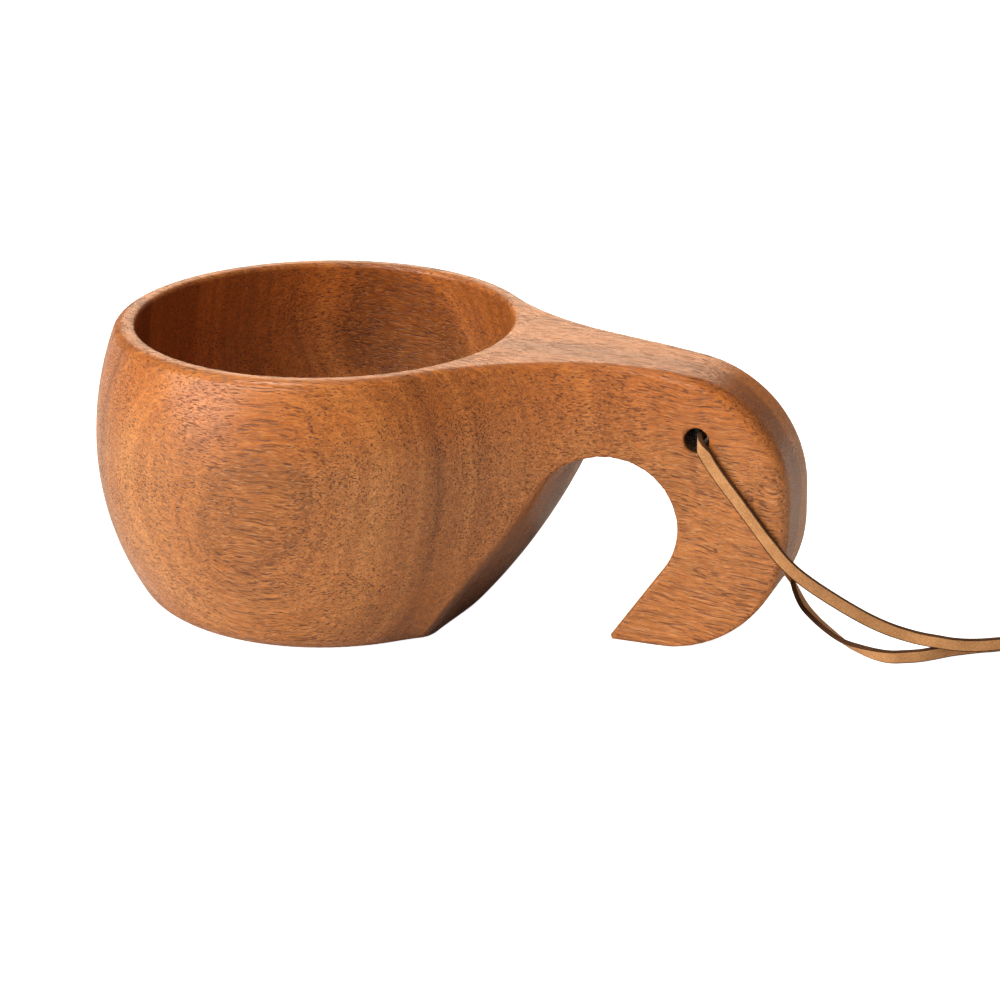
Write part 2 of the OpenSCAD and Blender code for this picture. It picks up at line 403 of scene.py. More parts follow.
class Sheet:
    """A material's nodes, laid out by short calls.

    Attributes:
        COLOURS: The sockets of a mix node that take its two colours.
        MIXED: The socket that gives the mixed colour.
        material: The material.
        tree: Its nodes.
        shader: The node that its surface comes from.
    """

    COLOURS = (6, 7)
    MIXED = 2

    def __init__(self, name: str) -> None:
        """Starts a material with only its output and its shader."""
        self.material = bpy.data.materials.new(name)
        self.material.use_nodes = True
        self.tree = self.material.node_tree
        self.tree.nodes.clear()
        self.shader = self.tree.nodes.new("ShaderNodeBsdfPrincipled")
        out = self.tree.nodes.new("ShaderNodeOutputMaterial")
        self.tree.links.new(self.shader.outputs["BSDF"], out.inputs["Surface"])

    def put(self, socket: bpy.types.NodeSocket, value: object) -> None:
        """Links a socket to another, or sets its value."""
        if isinstance(value, bpy.types.NodeSocket):
            self.tree.links.new(value, socket)
        else:
            socket.default_value = value

    def math(
        self, kind: str, a: object, b: object = 0.0, clamp: bool = False
    ) -> bpy.types.NodeSocket:
        """Two numbers put together by one of Blender's operations.

        Args:
            kind: The operation's name.
            a: The first number, or a socket that gives it.
            b: The second one.
            clamp: Whether the result is kept between 0 and 1.

        Returns:
            The socket that gives the result.
        """
        node = self.tree.nodes.new("ShaderNodeMath")
        node.operation = kind
        node.use_clamp = clamp
        for socket, value in zip(node.inputs, (a, b)):
            self.put(socket, value)
        return node.outputs[0]

    def vector(self, kind: str, a: object, b: object) -> bpy.types.NodeSocket:
        """Two vectors put together by one of Blender's operations."""
        node = self.tree.nodes.new("ShaderNodeVectorMath")
        node.operation = kind
        self.put(node.inputs[0], a)
        self.put(node.inputs[1], b)
        return node.outputs[0]

    def places(self) -> bpy.types.NodeSocket:
        """Each point's own place, in millimetres."""
        node = self.tree.nodes.new("ShaderNodeTexCoord")
        return self.vector("MULTIPLY", node.outputs["Object"], (PER_M, PER_M, PER_M))

    def parts(self, vector: bpy.types.NodeSocket) -> list[bpy.types.NodeSocket]:
        """A vector's three numbers."""
        node = self.tree.nodes.new("ShaderNodeSeparateXYZ")
        self.put(node.inputs[0], vector)
        return list(node.outputs)

    def noise(
        self,
        place: bpy.types.NodeSocket,
        often: Three | float,
        detail: float = 2.0,
        rough: float = 0.5,
    ) -> bpy.types.Node:
        """Cloudy noise.

        Args:
            place: The place, or a single number for noise along one line.
            often: How often the noise changes in a millimetre, along each direction.
            detail: Number of finer layers.
            rough: How strong the finer layers are.

        Returns:
            The noise's node.
        """
        node = self.tree.nodes.new("ShaderNodeTexNoise")
        if isinstance(often, tuple):
            self.put(node.inputs["Vector"], self.vector("MULTIPLY", place, often))
        else:
            node.noise_dimensions = "1D"
            self.put(node.inputs["W"], self.math("MULTIPLY", place, often))
        self.put(node.inputs["Scale"], 1.0)
        self.put(node.inputs["Detail"], detail)
        self.put(node.inputs["Roughness"], rough)
        return node

    def ramp(
        self, value: bpy.types.NodeSocket, stops: Sequence[tuple[float, Colour]]
    ) -> bpy.types.NodeSocket:
        """Colours along a number, from a few stops."""
        node = self.tree.nodes.new("ShaderNodeValToRGB")
        self.put(node.inputs[0], value)
        fill_ramp(node, stops)
        return node.outputs["Color"]

    def between(
        self, value: object, low: float, high: float, start: float = 0.0, end: float = 1.0
    ) -> bpy.types.NodeSocket:
        """A smooth step of a number.

        Args:
            value: The number.
            low: The number where the step begins.
            high: The number where it ends.
            start: The result before the step.
            end: The result after it.

        Returns:
            The socket that gives the result.
        """
        node = self.tree.nodes.new("ShaderNodeMapRange")
        node.interpolation_type = "SMOOTHSTEP"
        for socket, given in zip(node.inputs, (value, low, high, start, end)):
            self.put(socket, given)
        return node.outputs[0]

    def mix(self, share: object, a: object, b: object, kind: str = "MIX") -> bpy.types.NodeSocket:
        """Two colours mixed by a share."""
        node = self.tree.nodes.new("ShaderNodeMix")
        node.data_type = "RGBA"
        node.blend_type = kind
        self.put(node.inputs["Factor"], share)
        for number, colour in zip(self.COLOURS, (a, b)):
            given = (*colour, 1.0) if isinstance(colour, tuple) else colour
            self.put(node.inputs[number], given)
        return node.outputs[self.MIXED]

    def bump(self, height: bpy.types.NodeSocket, depth: float) -> None:
        """Raises the surface by a height, in millimetres, where it is 1."""
        node = self.tree.nodes.new("ShaderNodeBump")
        node.inputs["Strength"].default_value = 1.0
        node.inputs["Distance"].default_value = depth * MM
        self.put(node.inputs["Height"], height)
        self.put(self.shader.inputs["Normal"], node.outputs["Normal"])


@dataclass(frozen=True)
class Wander:
    """A slow noise that moves the fibres off their straight run.

    Attributes:
        often: How often it changes in a millimetre, along each direction.
        far: How far it moves them.
    """

    often: Three
    far: Three


@dataclass(frozen=True)
class OiledWood:
    """Open-pored hardwood, sanded and oiled, with its fibres along x.

    Attributes:
        dark: Colour of the dark growth bands.
        middle: Colour between them.
        light: Colour of the light growth bands.
        warm: Colour that the oil brings out in patches.
        pore: Colour of the open pores.
        nap: Colour of the light fibres between the pores, paled to stand in for a painted sheen on
            them.
        handled: Tint of the oil towards the rim, where the cup is handled most.
        painted_wall_shade: Painted shade in the cut wall beside the finger hole, multiplied into
            its colour.
        hole_char_and_shade: Colour of the burnt wood in the lace hole, and of the painted shade
            inside it.
        sheen_rough: Roughness of the oiled surface.
        pore_rough: Roughness that the pores add.
        pore_depth: Depth of the pores.
        pore_share: How much of its own colour a pore shows.
        fibre_and_sheen_share: How much of its own colour a light fibre shows, with its painted
            sheen.
        wanders: What moves the fibres off their straight run.
        fall: How far the fibres fall, as a share of their run.
        broad_often: How many broad growth bands there are in a millimetre.
        fine_often: How many fine growth bands there are in a millimetre.
        broad_share: How much of the banding is broad.
        patch_often: How often the oil's patches change in a millimetre.
        fibre_often: How often the fibres change.
        speck_often: How often the specks change.
        crowd_often: How often the pores' crowding changes.
        pore_often: How often the pores change.
        hair_often: How often the fine pores change.
        pore_limits: Height of the noise that is a pore, where they are few and many.
        handled_z: Heights between which the rim's tint comes in.
        wall_way: The way that the cut wall looks, as its x and minus its z.
        wall_match: How nearly a surface looks that way at the painted shade's start and end.
        wall_x: Distances from the axis between which the painted shade fades in.
        wall_z: Heights between which the painted shade deepens.
        hole: The lace hole's place and radius, where the wood is burnt and painted in shade.
    """

    dark: Colour = (0.30, 0.100, 0.028)
    middle: Colour = (0.50, 0.172, 0.046)
    light: Colour = (0.66, 0.255, 0.075)
    warm: Colour = (0.54, 0.165, 0.026)
    pore: Colour = (0.10, 0.027, 0.008)
    nap: Colour = (0.90, 0.54, 0.28)
    handled: Colour = (1.0, 0.84, 0.62)
    # Painted shade for the cut wall beside the finger hole
    painted_wall_shade: Colour = (0.26, 0.22, 0.20)
    # Burnt wood and painted shade for the lace hole
    hole_char_and_shade: Colour = (0.030, 0.012, 0.006)
    sheen_rough: float = 0.27
    pore_rough: float = 0.2
    pore_depth: float = 0.05
    pore_share: float = 0.74
    fibre_and_sheen_share: float = 0.28
    wanders: tuple[Wander, Wander] = (
        Wander((0.022, 0.03, 0.03), (4.0, 9.0, 7.0)),
        Wander((0.16, 0.05, 0.11), (0.0, 0.8, 1.5)),
    )
    fall: float = 0.09
    broad_often: float = 0.085
    fine_often: float = 0.36
    broad_share: float = 0.62
    patch_often: Three = (0.03, 0.045, 0.045)
    fibre_often: Three = (0.055, 1.1, 1.1)
    speck_often: Three = (1.4, 3.2, 3.2)
    crowd_often: Three = (0.05, 0.10, 0.10)
    pore_often: Three = (0.20, 3.0, 3.0)
    hair_often: Three = (0.34, 4.8, 4.8)
    pore_limits: Span = (0.61, 0.54)
    handled_z: Span = (38.0, 56.0)
    wall_way: Span = (0.8, 0.6)
    wall_match: Span = (0.72, 0.95)
    wall_x: Span = (62.0, 57.0)
    wall_z: Span = (40.0, 4.0)
    hole: Three = (85.5, 46.5, 2.5)

    def bent(self, s: Sheet, place: bpy.types.NodeSocket) -> bpy.types.NodeSocket:
        """The place that the fibres' patterns read, since they wander and fall a little.

        Args:
            s: The material's sheet.
            place: The true place.

        Returns:
            The place moved with the fibres.
        """
        moves = []
        for wander in self.wanders:
            cloud = s.noise(place, wander.often, 1.0).outputs["Color"]
            cloud = s.vector("SUBTRACT", cloud, (0.5, 0.5, 0.5))
            moves.append(s.vector("MULTIPLY", cloud, wander.far))
        fall = s.tree.nodes.new("ShaderNodeCombineXYZ")
        s.put(fall.inputs["Z"], s.math("MULTIPLY", s.parts(place)[0], self.fall))
        moved = s.vector("ADD", place, s.vector("ADD", *moves))
        return s.vector("ADD", moved, fall.outputs[0])

    def bands(
        self, s: Sheet, place: bpy.types.NodeSocket, bent: bpy.types.NodeSocket
    ) -> bpy.types.NodeSocket:
        """The growth bands: layers across y, so the round bowl shows them as rings.

        Args:
            s: The material's sheet.
            place: The true place.
            bent: The place moved with the fibres.

        Returns:
            The bands' colour, with the oil's warm patches.
        """
        across = s.parts(bent)[1]
        broad = s.noise(across, self.broad_often, 1.0, 0.4).outputs["Fac"]
        fine = s.noise(across, self.fine_often, 2.0, 0.6).outputs["Fac"]
        broad = s.math("MULTIPLY", broad, self.broad_share)
        height = s.math("ADD", broad, s.math("MULTIPLY", fine, 1 - self.broad_share))
        colour = s.ramp(height, ((0.34, self.dark), (0.50, self.middle), (0.66, self.light)))
        patches = s.noise(place, self.patch_often).outputs["Fac"]
        return s.mix(s.between(patches, 0.45, 0.75, 0.0, 0.45), colour, self.warm)

    def tone(
        self, s: Sheet, place: bpy.types.NodeSocket, fibre: bpy.types.NodeSocket
    ) -> bpy.types.NodeSocket:
        """The fibres' streaks and specks, as a grey that the colour is multiplied by.

        Args:
            s: The material's sheet.
            place: The true place.
            fibre: The height of the fibres.

        Returns:
            The grey.
        """
        streaks = s.between(fibre, 0.3, 0.7, 0.80, 1.20)
        speck = s.noise(place, self.speck_often, 2.0, 0.6).outputs["Fac"]
        tone = s.math("MULTIPLY", streaks, s.between(speck, 0.25, 0.75, 0.90, 1.10))
        grey = s.tree.nodes.new("ShaderNodeCombineColor")
        for socket in grey.inputs:
            s.put(socket, tone)
        return grey.outputs[0]

    def pores(
        self, s: Sheet, place: bpy.types.NodeSocket, bent: bpy.types.NodeSocket
    ) -> tuple[bpy.types.NodeSocket, bpy.types.NodeSocket]:
        """The pores: dashes along the fibres, and dots where the surface cuts across them.

        Args:
            s: The material's sheet.
            place: The true place.
            bent: The place moved with the fibres.

        Returns:
            How much of each point is pore, and how much is light fibre with painted sheen.
        """
        crowd = s.noise(place, self.crowd_often).outputs["Fac"]
        grain = s.noise(bent, self.pore_often, 1.0).outputs["Fac"]
        limit = s.between(crowd, 0.3, 0.7, *self.pore_limits)
        open_pores = s.math("MULTIPLY", s.math("SUBTRACT", grain, limit), 11.0, clamp=True)
        hair_noise = s.noise(bent, self.hair_often, 1.0).outputs["Fac"]
        hair = s.math("MULTIPLY", s.math("SUBTRACT", hair_noise, 0.57), 8.0, clamp=True)
        every = s.math("MAXIMUM", open_pores, s.math("MULTIPLY", hair, 0.6))
        return every, s.between(hair_noise, 0.47, 0.31)

    def stained_and_shaded(
        self, s: Sheet, place: bpy.types.NodeSocket, colour: bpy.types.NodeSocket
    ) -> bpy.types.NodeSocket:
        """Adds what oil, hands and the drill have done to the wood's colour, and painted shade in
        the cut wall and the lace hole.

        Args:
            s: The material's sheet.
            place: The true place.
            colour: The colour so far.

        Returns:
            The stained colour.
        """
        x, _, z = s.parts(place)
        colour = s.mix(s.between(z, *self.handled_z), colour, self.handled, "MULTIPLY")
        # Painted shade in the wall beside the finger hole, which cuts across the fibres: darker
        # where the surface looks that wall's way, and more so towards the table
        looks = s.parts(s.tree.nodes.new("ShaderNodeNewGeometry").outputs["Normal"])
        onwards, down = (
            s.math("MULTIPLY", looks[axis], share) for axis, share in zip((0, 2), self.wall_way)
        )
        wall_shade = s.between(s.math("SUBTRACT", onwards, down), *self.wall_match)
        wall_shade = s.math("MULTIPLY", wall_shade, s.between(x, *self.wall_x))
        wall_shade = s.math("MULTIPLY", wall_shade, s.between(z, *self.wall_z, 0.35, 1.0))
        colour = s.mix(wall_shade, colour, self.painted_wall_shade, "MULTIPLY")
        # The lace hole: burnt wood, and painted shade inside the bore, darkest within its radius
        hole_x, hole_z, hole_r = self.hole
        off = [s.math("SUBTRACT", x, hole_x), s.math("SUBTRACT", z, hole_z)]
        from_hole = s.math("SQRT", s.math("ADD", *[s.math("MULTIPLY", d, d) for d in off]))
        char_and_shade_share = s.between(from_hole, hole_r + 0.5, hole_r - 0.1)
        return s.mix(char_and_shade_share, colour, self.hole_char_and_shade)

    def material(self) -> bpy.types.Material:
        """Builds the finish's nodes.

        Returns:
            The material.
        """
        s = Sheet("oiled_wood")
        place = s.places()
        bent = self.bent(s, place)
        fibre = s.noise(bent, self.fibre_often, 4.0, 0.65).outputs["Fac"]
        pores, nap = self.pores(s, place, bent)
        colour = self.bands(s, place, bent)
        colour = s.mix(1.0, colour, self.tone(s, place, fibre), "MULTIPLY")
        # Light fibres, paled as painted sheen
        colour = s.mix(s.math("MULTIPLY", nap, self.fibre_and_sheen_share), colour, self.nap)
        colour = s.mix(s.math("MULTIPLY", pores, self.pore_share), colour, self.pore)
        s.put(s.shader.inputs["Base Color"], self.stained_and_shaded(s, place, colour))
        rough = s.math("ADD", s.math("MULTIPLY", pores, self.pore_rough), self.sheen_rough)
        s.put(s.shader.inputs["Roughness"], rough)
        s.shader.inputs["IOR"].default_value = 1.48
        grooves = s.math("SUBTRACT", s.math("MULTIPLY", fibre, 0.5), pores)
        s.bump(grooves, self.pore_depth)
        return s.material


@dataclass(frozen=True)
class Suede:
    """Split leather: its face brushed and pale, or its cut edge dark.

    Attributes:
        name: The material's name.
        pale: Colour of the raised nap.
        deep: Colour between the nap.
        nap: Height of the nap.
        fuzz: Strength of the soft light along the nap.
        nap_often: How often the nap changes in a millimetre.
        worn_often: How often its worn patches change.
    """

    name: str
    pale: Colour
    deep: Colour
    nap: float
    fuzz: float
    nap_often: float = 3.2
    worn_often: float = 0.25

    def material(self) -> bpy.types.Material:
        """Builds the finish's nodes.

        Returns:
            The material.
        """
        s = Sheet(self.name)
        place = s.places()
        nap = s.noise(place, (self.nap_often,) * 3, 3.0, 0.7).outputs["Fac"]
        worn = s.noise(place, (self.worn_often,) * 3).outputs["Fac"]
        share = s.math("ADD", s.math("MULTIPLY", nap, 0.7), s.math("MULTIPLY", worn, 0.3))
        colour = s.ramp(share, ((0.36, self.deep), (0.62, self.pale)))
        s.put(s.shader.inputs["Base Color"], colour)
        s.put(s.shader.inputs["Roughness"], s.between(nap, 0.2, 0.8, 0.98, 0.82))
        s.shader.inputs["Sheen Weight"].default_value = self.fuzz
        s.shader.inputs["Sheen Roughness"].default_value = 0.5
        s.shader.inputs["Specular IOR Level"].default_value = 0.2
        s.bump(nap, self.nap)
        return s.material


# The strip's two finishes, each with its pale and its deep colour
FACE = Suede("suede_face", (0.72, 0.37, 0.16), (0.47, 0.21, 0.08), nap=0.12, fuzz=0.10)
EDGE = Suede("suede_cut_edge", (0.12, 0.05, 0.02), (0.05, 0.02, 0.009), nap=0.14, fuzz=0.02)


def dress(piece: bpy.types.Object, *materials: bpy.types.Material) -> None:
    """Puts materials in a piece's slots, in order."""
    for material in materials:
        piece.data.materials.append(material)


# ---- The cup ---------------------------------------------------------------


@dataclass
class Cup:
    """The cup: a round bowl and a hooked handle, carved from one block.

    Attributes:
        belly_r: Radius of the bowl at its widest.
        height: Height of the cup.
        reach: Distance from the bowl's axis to the end of the handle.
        belly_z: Height at which the bowl is widest.
        lower_curve_r: Radius of the bowl's side below that, seen from the side.
        upper_curve_r: Radius of its side above that.
        heel_r: Radius of the round heel that the bowl stands on.
        handle_t: Thickness of the handle.
        sweep_r: Radius of the curve, seen from above, from bowl to handle.
        shoulder_r: Radius of the handle's upper end.
        top_fall: How far the top falls towards the handle's end.
        top_fall_x: Where the top begins to fall.
        outer_curve_r: Radius of the handle's outer end, down to its foot.
        foot_lift: Angle at which the outer end meets the table, in degrees.
        foot_tip_x: Distance from the axis to the foot's tip.
        finger_d: Width of the finger hole.
        finger_x: Distance from the axis to the finger hole's middle.
        finger_z: Height of its middle.
        cut_lean: Lean of its straight side beside the bowl, in degrees.
        wall_foot_x: Where the round wall beside the bowl meets the table.
        wall_top_x: Where that wall ends at the top.
        wall_top_z: Height of its top.
        wall_bulge: How far it bulges outwards, seen from the side.
        wall_turn_back: How far behind the axis lies the middle that it is turned about.
        foot_face_top: Height at which the foot's straight inner face ends.
        mouth_r: Radius of the mouth.
        wall: Thickness of the bowl's side at its widest.
        hollow_z: Height at which the hollow is widest.
        floor_t: Thickness of the bowl's floor.
        lace_hole_d: Width of the lace's hole.
        lace_hole_x: Distance from the axis to that hole.
        lace_hole_z: Height of that hole.
        rim_edge: Radius of the outer edge round the bowl's top.
        end_edge: Radius of the edges round the handle's end.
        mouth_edge: Radius of the mouth's edge.
        foot_edge: Radius of the edges on the table.
        finger_edge: Radius of the finger hole's edges.
        wall_edge: Radius of the edges of the round wall beside the bowl.
        hole_edge: Radius of the lace hole's edges.
        end_x: Distances from the axis between which the rim's edge becomes the end's.
        end_z: Heights between which the foot's edge becomes the upper one.
        wall_x: Distances between which the finger hole's edge becomes the wall's.
        heel_z: Height below which the bowl's side stays as wide as it is there.
        face_size: Size of the mesh's faces.
    """

    belly_r: float
    height: float
    reach: float
    belly_z: float = 34.5
    lower_curve_r: float = 61.0
    upper_curve_r: float = 70.0
    heel_r: float = 7.5
    handle_t: float = 18.5
    sweep_r: float = 66.0
    shoulder_r: float = 26.0
    top_fall: float = 1.0
    top_fall_x: float = 60.0
    outer_curve_r: float = 28.0
    foot_lift: float = 6.0
    foot_tip_x: float = 67.0
    finger_d: float = 30.6
    finger_x: float = 66.4
    finger_z: float = 26.2
    cut_lean: float = 31.6
    wall_foot_x: float = 34.2
    wall_top_x: float = 57.0
    wall_top_z: float = 35.0
    wall_bulge: float = 1.7
    wall_turn_back: float = 20.0
    foot_face_top: float = 18.5
    mouth_r: float = 40.0
    wall: float = 7.5
    hollow_z: float = 40.0
    floor_t: float = 8.0
    lace_hole_d: float = 5.0
    lace_hole_x: float = 85.5
    lace_hole_z: float = 46.5
    rim_edge: float = 1.7
    end_edge: float = 3.4
    mouth_edge: float = 1.2
    foot_edge: float = 0.7
    finger_edge: float = 0.9
    wall_edge: float = 1.6
    hole_edge: float = 0.5
    end_x: Span = (70, 95)
    end_z: Span = (-2, 46)
    wall_x: Span = (62, 52)
    heel_z: float = 0.3
    face_size: float = 0.82

    def bowl_radius(self, z: np.ndarray) -> tuple[np.ndarray, np.ndarray]:
        """The bowl's outside radius at a height, and how fast it changes there."""
        lower_c, upper_c = self.belly_r - self.lower_curve_r, self.belly_r - self.upper_curve_r
        rise = self.belly_z - self.heel_r
        base_r = lower_c + math.sqrt((self.lower_curve_r - self.heel_r) ** 2 - rise**2)
        heel_top = self.belly_z - self.lower_curve_r * rise / (self.lower_curve_r - self.heel_r)
        arcs = (
            (z < heel_top, base_r, self.heel_r, self.heel_r),
            ((z >= heel_top) & (z < self.belly_z), lower_c, self.lower_curve_r, self.belly_z),
            (z >= self.belly_z, upper_c, self.upper_curve_r, self.belly_z),
        )
        radius, slope = np.zeros_like(z), np.zeros_like(z)
        for where, centre, turn, middle in arcs:
            # Each arc is worked out past its ends too, where its root must stay real
            out = np.sqrt(np.maximum(turn**2 - (z - middle) ** 2, 0.01))
            radius = np.where(where, centre + out, radius)
            slope = np.where(where, (middle - z) / out, slope)
        return radius, slope

    def outside(self, x: np.ndarray, y: np.ndarray, z: np.ndarray) -> np.ndarray:
        """The bowl swept into the handle, without top, base or end."""
        y = np.abs(y)
        radius, slope = self.bowl_radius(np.clip(z, self.heel_z, self.height))
        half = self.handle_t / 2
        turn_y = half + self.sweep_r
        turn_x = np.sqrt((radius + self.sweep_r) ** 2 - turn_y**2)
        bowl = np.hypot(x, y) - radius
        sweep = self.sweep_r - np.hypot(x - turn_x, y - turn_y)
        in_sweep = (x < turn_x) & (turn_x * y < turn_y * x)
        plan = np.where(in_sweep, sweep, np.where(x < turn_x, bowl, y - half))
        # The bowl's side leans, so its true distance is shorter than the level one
        lean = 1 / np.sqrt(1 + slope**2)
        meet_x = radius * turn_x / (radius + self.sweep_r)
        share = np.clip((x - meet_x) / (turn_x - meet_x), 0, 1)
        return plan * (lean + (1 - lean) * share)

    def top_and_end(self, x: np.ndarray, z: np.ndarray) -> np.ndarray:
        """The outline that the cup has from the side: its top and the handle's end."""
        shoulder_x = self.reach - self.shoulder_r
        fall_l = shoulder_x - self.top_fall_x
        fall_slope = 2 * self.top_fall / fall_l
        shoulder_z = self.height - self.top_fall - self.shoulder_r * math.hypot(1, fall_slope)
        outer_x = self.reach - self.outer_curve_r
        outer_z = self.outer_curve_r * math.cos(math.radians(self.foot_lift))
        fallen = np.where(
            x < shoulder_x,
            self.top_fall * (np.maximum(x - self.top_fall_x, 0) / fall_l) ** 2,
            self.top_fall + fall_slope * (x - shoulder_x),
        )
        top = (z - self.height + fallen) / math.hypot(1, fall_slope)
        shoulder = np.hypot(x - shoulder_x, z - shoulder_z) - self.shoulder_r
        outer = np.hypot(x - outer_x, z - outer_z) - self.outer_curve_r
        form = np.where(x - shoulder_x > fall_slope * (z - shoulder_z), shoulder, top)
        form = np.where(z > shoulder_z, form, np.maximum(top, x - self.reach))
        # The outer curve's lowest point is a little below the table
        under = np.maximum(form, outer_z - self.outer_curve_r - z)
        return np.where((z < outer_z) & (x > outer_x), outer, under)

    def finger_cut(self, x: np.ndarray, y: np.ndarray, z: np.ndarray) -> np.ndarray:
        """The finger hole, open downwards, up to the round wall beside the bowl."""
        middle = np.array([self.finger_x, self.finger_z])
        lean = math.radians(self.cut_lean)
        way = np.array([math.sin(lean), math.cos(lean)])
        touch = middle + self.finger_d / 2 * np.array([-way[1], way[0]])
        drop = self.finger_z - self.foot_face_top
        face_top_x = self.finger_x + math.sqrt((self.finger_d / 2) ** 2 - drop**2)
        face = np.array([face_top_x - self.foot_tip_x, self.foot_face_top])
        face /= np.linalg.norm(face)
        ring = np.hypot(x - middle[0], z - middle[1]) - self.finger_d / 2
        left = (touch[0] - x) * way[1] + (z - touch[1]) * way[0]
        right = (x - self.foot_tip_x) * face[1] - z * face[0]
        above = (x - middle[0]) * way[0] + (z - middle[1]) * way[1]
        cut = np.minimum(ring, np.maximum(np.maximum(left, right), above))
        return both(cut, -self.bowl_wall(x, y, z), self.wall_edge)

    def bowl_wall(self, x: np.ndarray, y: np.ndarray, z: np.ndarray) -> np.ndarray:
        """The round wall that the finger cut leaves beside the bowl."""
        chord = np.array([self.wall_top_x - self.wall_foot_x, self.wall_top_z])
        length = np.linalg.norm(chord)
        turn = length**2 / (8 * self.wall_bulge) + self.wall_bulge / 2
        inwards = np.array([-chord[1], chord[0]]) / length
        middle = np.array([self.wall_foot_x + self.wall_turn_back, 0]) + chord / 2
        middle = middle + (turn - self.wall_bulge) * inwards
        out = np.hypot(x + self.wall_turn_back, y)
        return np.hypot(out - middle[0], z - middle[1]) - turn

    def hollow(self, x: np.ndarray, y: np.ndarray, z: np.ndarray) -> np.ndarray:
        """The space for the drink."""
        out = np.hypot(x, y)
        widest = self.belly_r - self.wall
        turn = self.hollow_z - self.floor_t
        rise, lean = self.height - self.hollow_z, widest - self.mouth_r
        upper_r = (rise**2 + lean**2) / (2 * lean)
        lower = np.hypot(np.maximum(out - widest + turn, 0), z - self.hollow_z) - turn
        upper = np.hypot(out - widest + upper_r, z - self.hollow_z) - upper_r
        return np.where(z < self.hollow_z, lower, upper)

    def field(self, x: np.ndarray, y: np.ndarray, z: np.ndarray) -> np.ndarray:
        """The whole cup: negative in the wood.

        Args:
            x: Distances from the bowl's axis towards the handle.
            y: Distances across the cup.
            z: Heights.

        Returns:
            The field's values.
        """
        edge = self.rim_edge + (self.end_edge - self.rim_edge) * ease(x, *self.end_x)
        edge = self.foot_edge + (edge - self.foot_edge) * ease(z, *self.end_z)
        wood = both(self.outside(x, y, z), self.top_and_end(x, z), edge)
        wood = both(wood, -z, self.foot_edge)
        cut_edge = self.finger_edge + (self.wall_edge - self.finger_edge) * ease(x, *self.wall_x)
        wood = both(wood, -self.finger_cut(x, y, z), cut_edge)
        wood = both(wood, -self.hollow(x, y, z), self.mouth_edge)
        bore = np.hypot(x - self.lace_hole_x, z - self.lace_hole_z) - self.lace_hole_d / 2
        return both(wood, -bore, self.hole_edge)

    def build(self) -> bpy.types.Object:
        """Carves and oils the cup.

        Returns:
            The cup, riding on its body in place of its node.
        """
        low = (-self.belly_r, -self.belly_r, 0)
        high = (self.reach, self.belly_r, self.height)
        cup = Carver(self.face_size).object_of("carved_cup", self.field, low, high)
        dress(cup, OiledWood().material())
        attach(cup, Body.CUP.value)
        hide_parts("cup_body")
        LOG.info("%s: %d faces", cup.name, len(cup.data.polygons))
        return cup


# ---- The lace --------------------------------------------------------------

# The knot: where it starts, which way it runs from there, and how long it is
KNOT_START = (152.1, 34.8)
KNOT_WAY = np.array([-0.34, 0.94, 0.0]) / math.hypot(0.34, 0.94)
KNOT_SIDE = np.array([KNOT_WAY[1], -KNOT_WAY[0], 0.0])
KNOT_L = 8.0
# The strands at the knot: their height, and how far apart their middles are
STRAND_Z = 3.5
STRANDS_APART = 3.3


def knot_point(distance: float, side: Side) -> Three:
    """Where a strand or a tail meets the knot, at a distance along its axis."""
    # The strands have crossed, so the front one is on the outer side
    out = -side.value * STRANDS_APART / 2
    x = KNOT_START[0] + distance * KNOT_WAY[0] + out * KNOT_WAY[1]
    y = KNOT_START[1] + distance * KNOT_WAY[1] - out * KNOT_WAY[0]
    return (x, y, STRAND_Z)


ROUTES = {
    Side.FRONT: [
        (85.5, 0, 46.5), (85.5, -5, 46.5), (86, -9.5, 46.5), (87, -11.5, 45.5),
        (88.7, -11.5, 42.8), (91.5, -11.5, 39.1), (94.6, -11.5, 35.4), (98.2, -11.5, 31),
        (101.4, -11.5, 27.2), (104.1, -10.9, 23.9), (106.5, -10.2, 21.5), (109, -9.3, 19.4),
        (112.9, -7.4, 16.2), (117, -4.9, 12.8), (121.1, -2.2, 9.6), (125.2, 0.2, 7.1),
        (129.2, 2, 5.5), (131.9, 2.7, 4.9), (134.4, 3.2, 4.6), (136.9, 4.3, 4),
        (139.8, 6.1, 3.4), (142.8, 8, 3.1), (146.4, 10.1, 3.1), (149.8, 12.5, 2.6),
        (152.5, 15.8, 1.9), (154.1, 19.8, 1.5), (154.7, 24, 1.5), (154.7, 28, 1.6),
        (154.5, 31.5, 2.5), knot_point(0, Side.FRONT),
    ],
    Side.REAR: [
        (85.5, 0, 46.5), (85.5, 5, 46.5), (86, 9.5, 46.5), (87, 11.5, 45.5),
        (88.5, 11.5, 42), (90.5, 11.5, 36.5), (92.5, 11.5, 30.5), (95, 11.5, 24),
        (98, 11.5, 17), (101.2, 11.2, 10), (104, 10, 6.2), (107.6, 7.3, 4.2),
        (111.6, 4.6, 2.8), (115.4, 2.4, 1.8), (119, 0.8, 1.5), (122.5, -0.6, 1.5),
        (125.7, -0.9, 1.5), (128.6, 0.3, 1.5), (131.4, 1.9, 1.5), (134, 4.2, 1.5),
        (136.6, 6.8, 1.5), (139.3, 8.9, 1.5), (142, 10.8, 1.5), (145.4, 12.9, 1.5),
        (148.2, 15.6, 1.5), (150.1, 19.4, 1.5), (151, 23.5, 1.5), (151.3, 27.5, 1.6),
        (151.1, 31.2, 2.5), knot_point(0, Side.REAR),
    ],
}
TAILS = {
    Side.FRONT: [knot_point(KNOT_L, Side.FRONT), (150.9, 45, 2), (152, 47, 1.5), (154.5, 48, 1.5)],
    Side.REAR: [knot_point(KNOT_L, Side.REAR), (147, 44, 2), (145.5, 46, 1.5), (143, 47.5, 1.5)],
}


